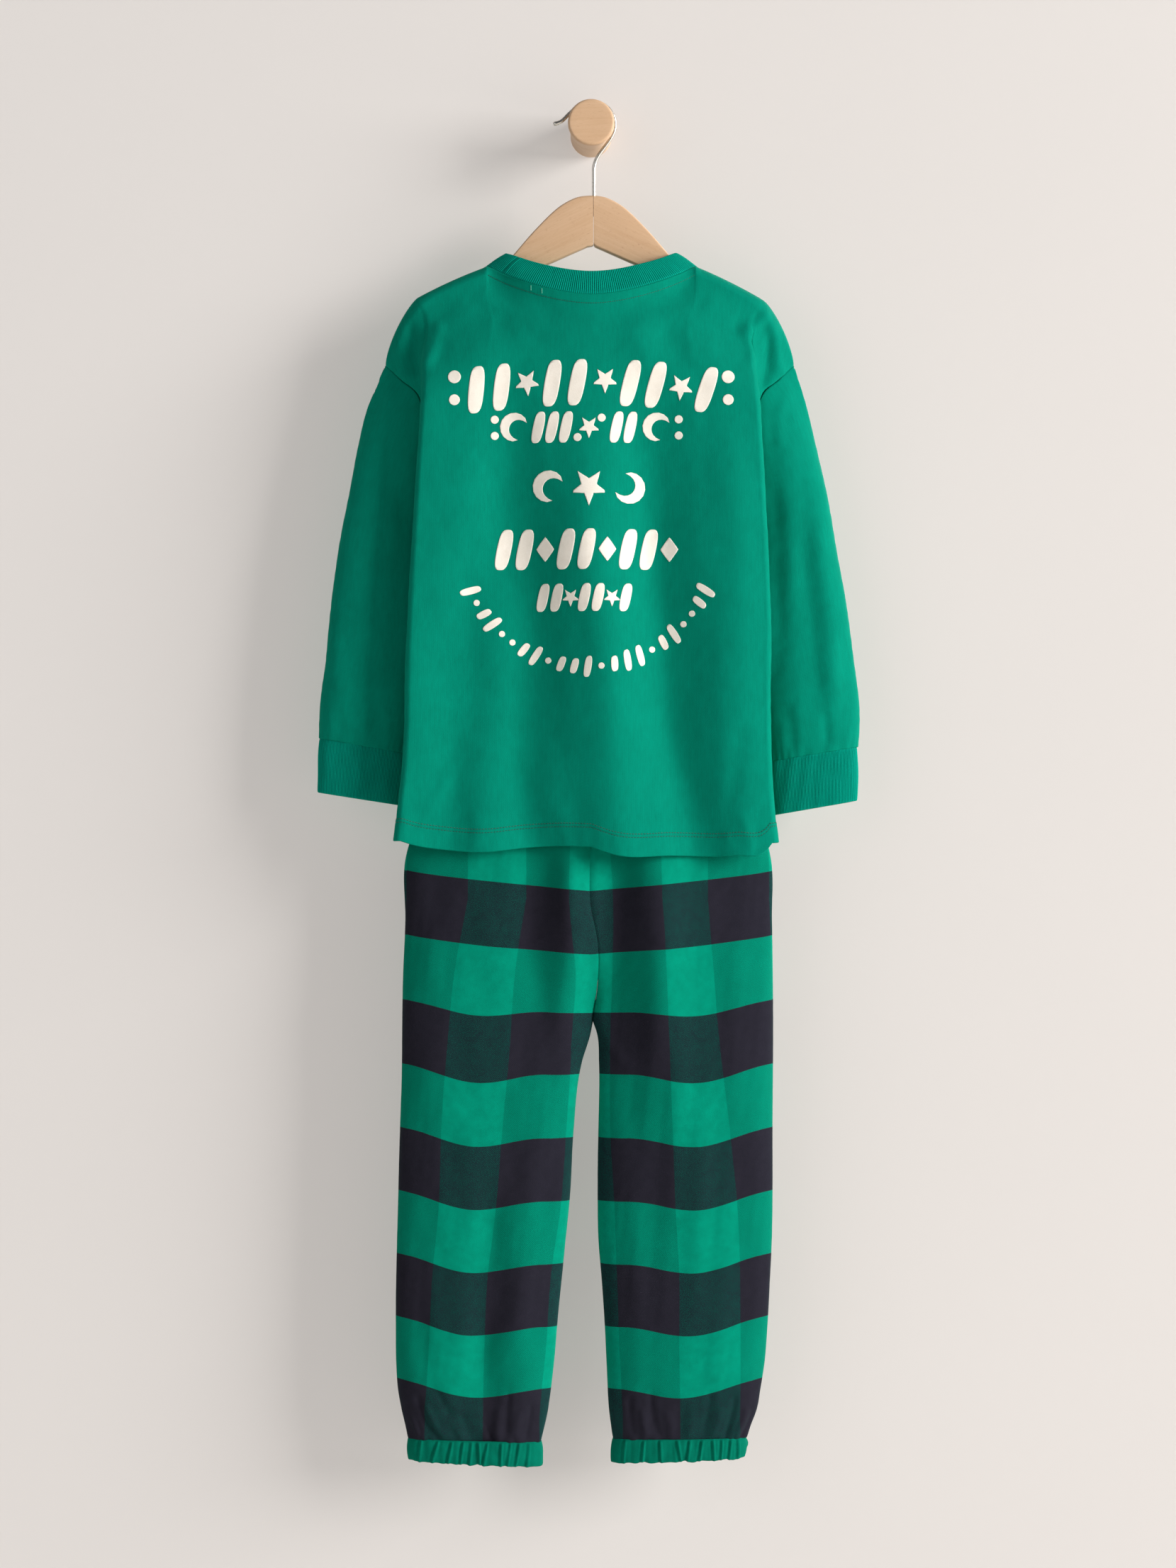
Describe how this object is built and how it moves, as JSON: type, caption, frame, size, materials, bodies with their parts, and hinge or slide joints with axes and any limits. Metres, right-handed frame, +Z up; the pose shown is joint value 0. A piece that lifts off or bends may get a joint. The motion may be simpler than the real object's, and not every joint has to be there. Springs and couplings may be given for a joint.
{
  "type": "pyjama set on a hanger and wall peg",
  "caption": "Child's long-sleeved jersey pyjama top and checked flannel trousers, hung back-on from a two-arm wooden hanger whose wire hook sits over a round wall peg.",
  "frame": {"origin": "centre of the peg's flat back, on the wall", "axes": "+X to the viewer's right, -Y out of the wall towards the room, +Z up; the garment's back faces -Y"},
  "size_m": [0.4789, 0.111, 1.2007],
  "materials": {
    "beech": "satin",
    "steel": "polished",
    "jersey": "matte",
    "rib": "matte",
    "check_flannel": "matte",
    "plain_flannel": "matte",
    "print": "matte"
  },
  "bodies": {
    "root": {"peg": "beech", "hook": "steel", "hanger_left_arm": "beech", "hanger_right_arm": "beech", "top_back": "jersey", "top_front": "jersey", "sleeve_left": "jersey", "sleeve_right": "jersey", "cuff_left": "rib", "cuff_right": "rib", "collar": "rib", "leg_left_back": "check_flannel", "leg_left_front": "check_flannel", "leg_right_back": "check_flannel", "leg_right_front": "check_flannel", "waistband": "plain_flannel", "ankle_band_left": "plain_flannel", "ankle_band_right": "plain_flannel"}
  },
  "joints": []
}
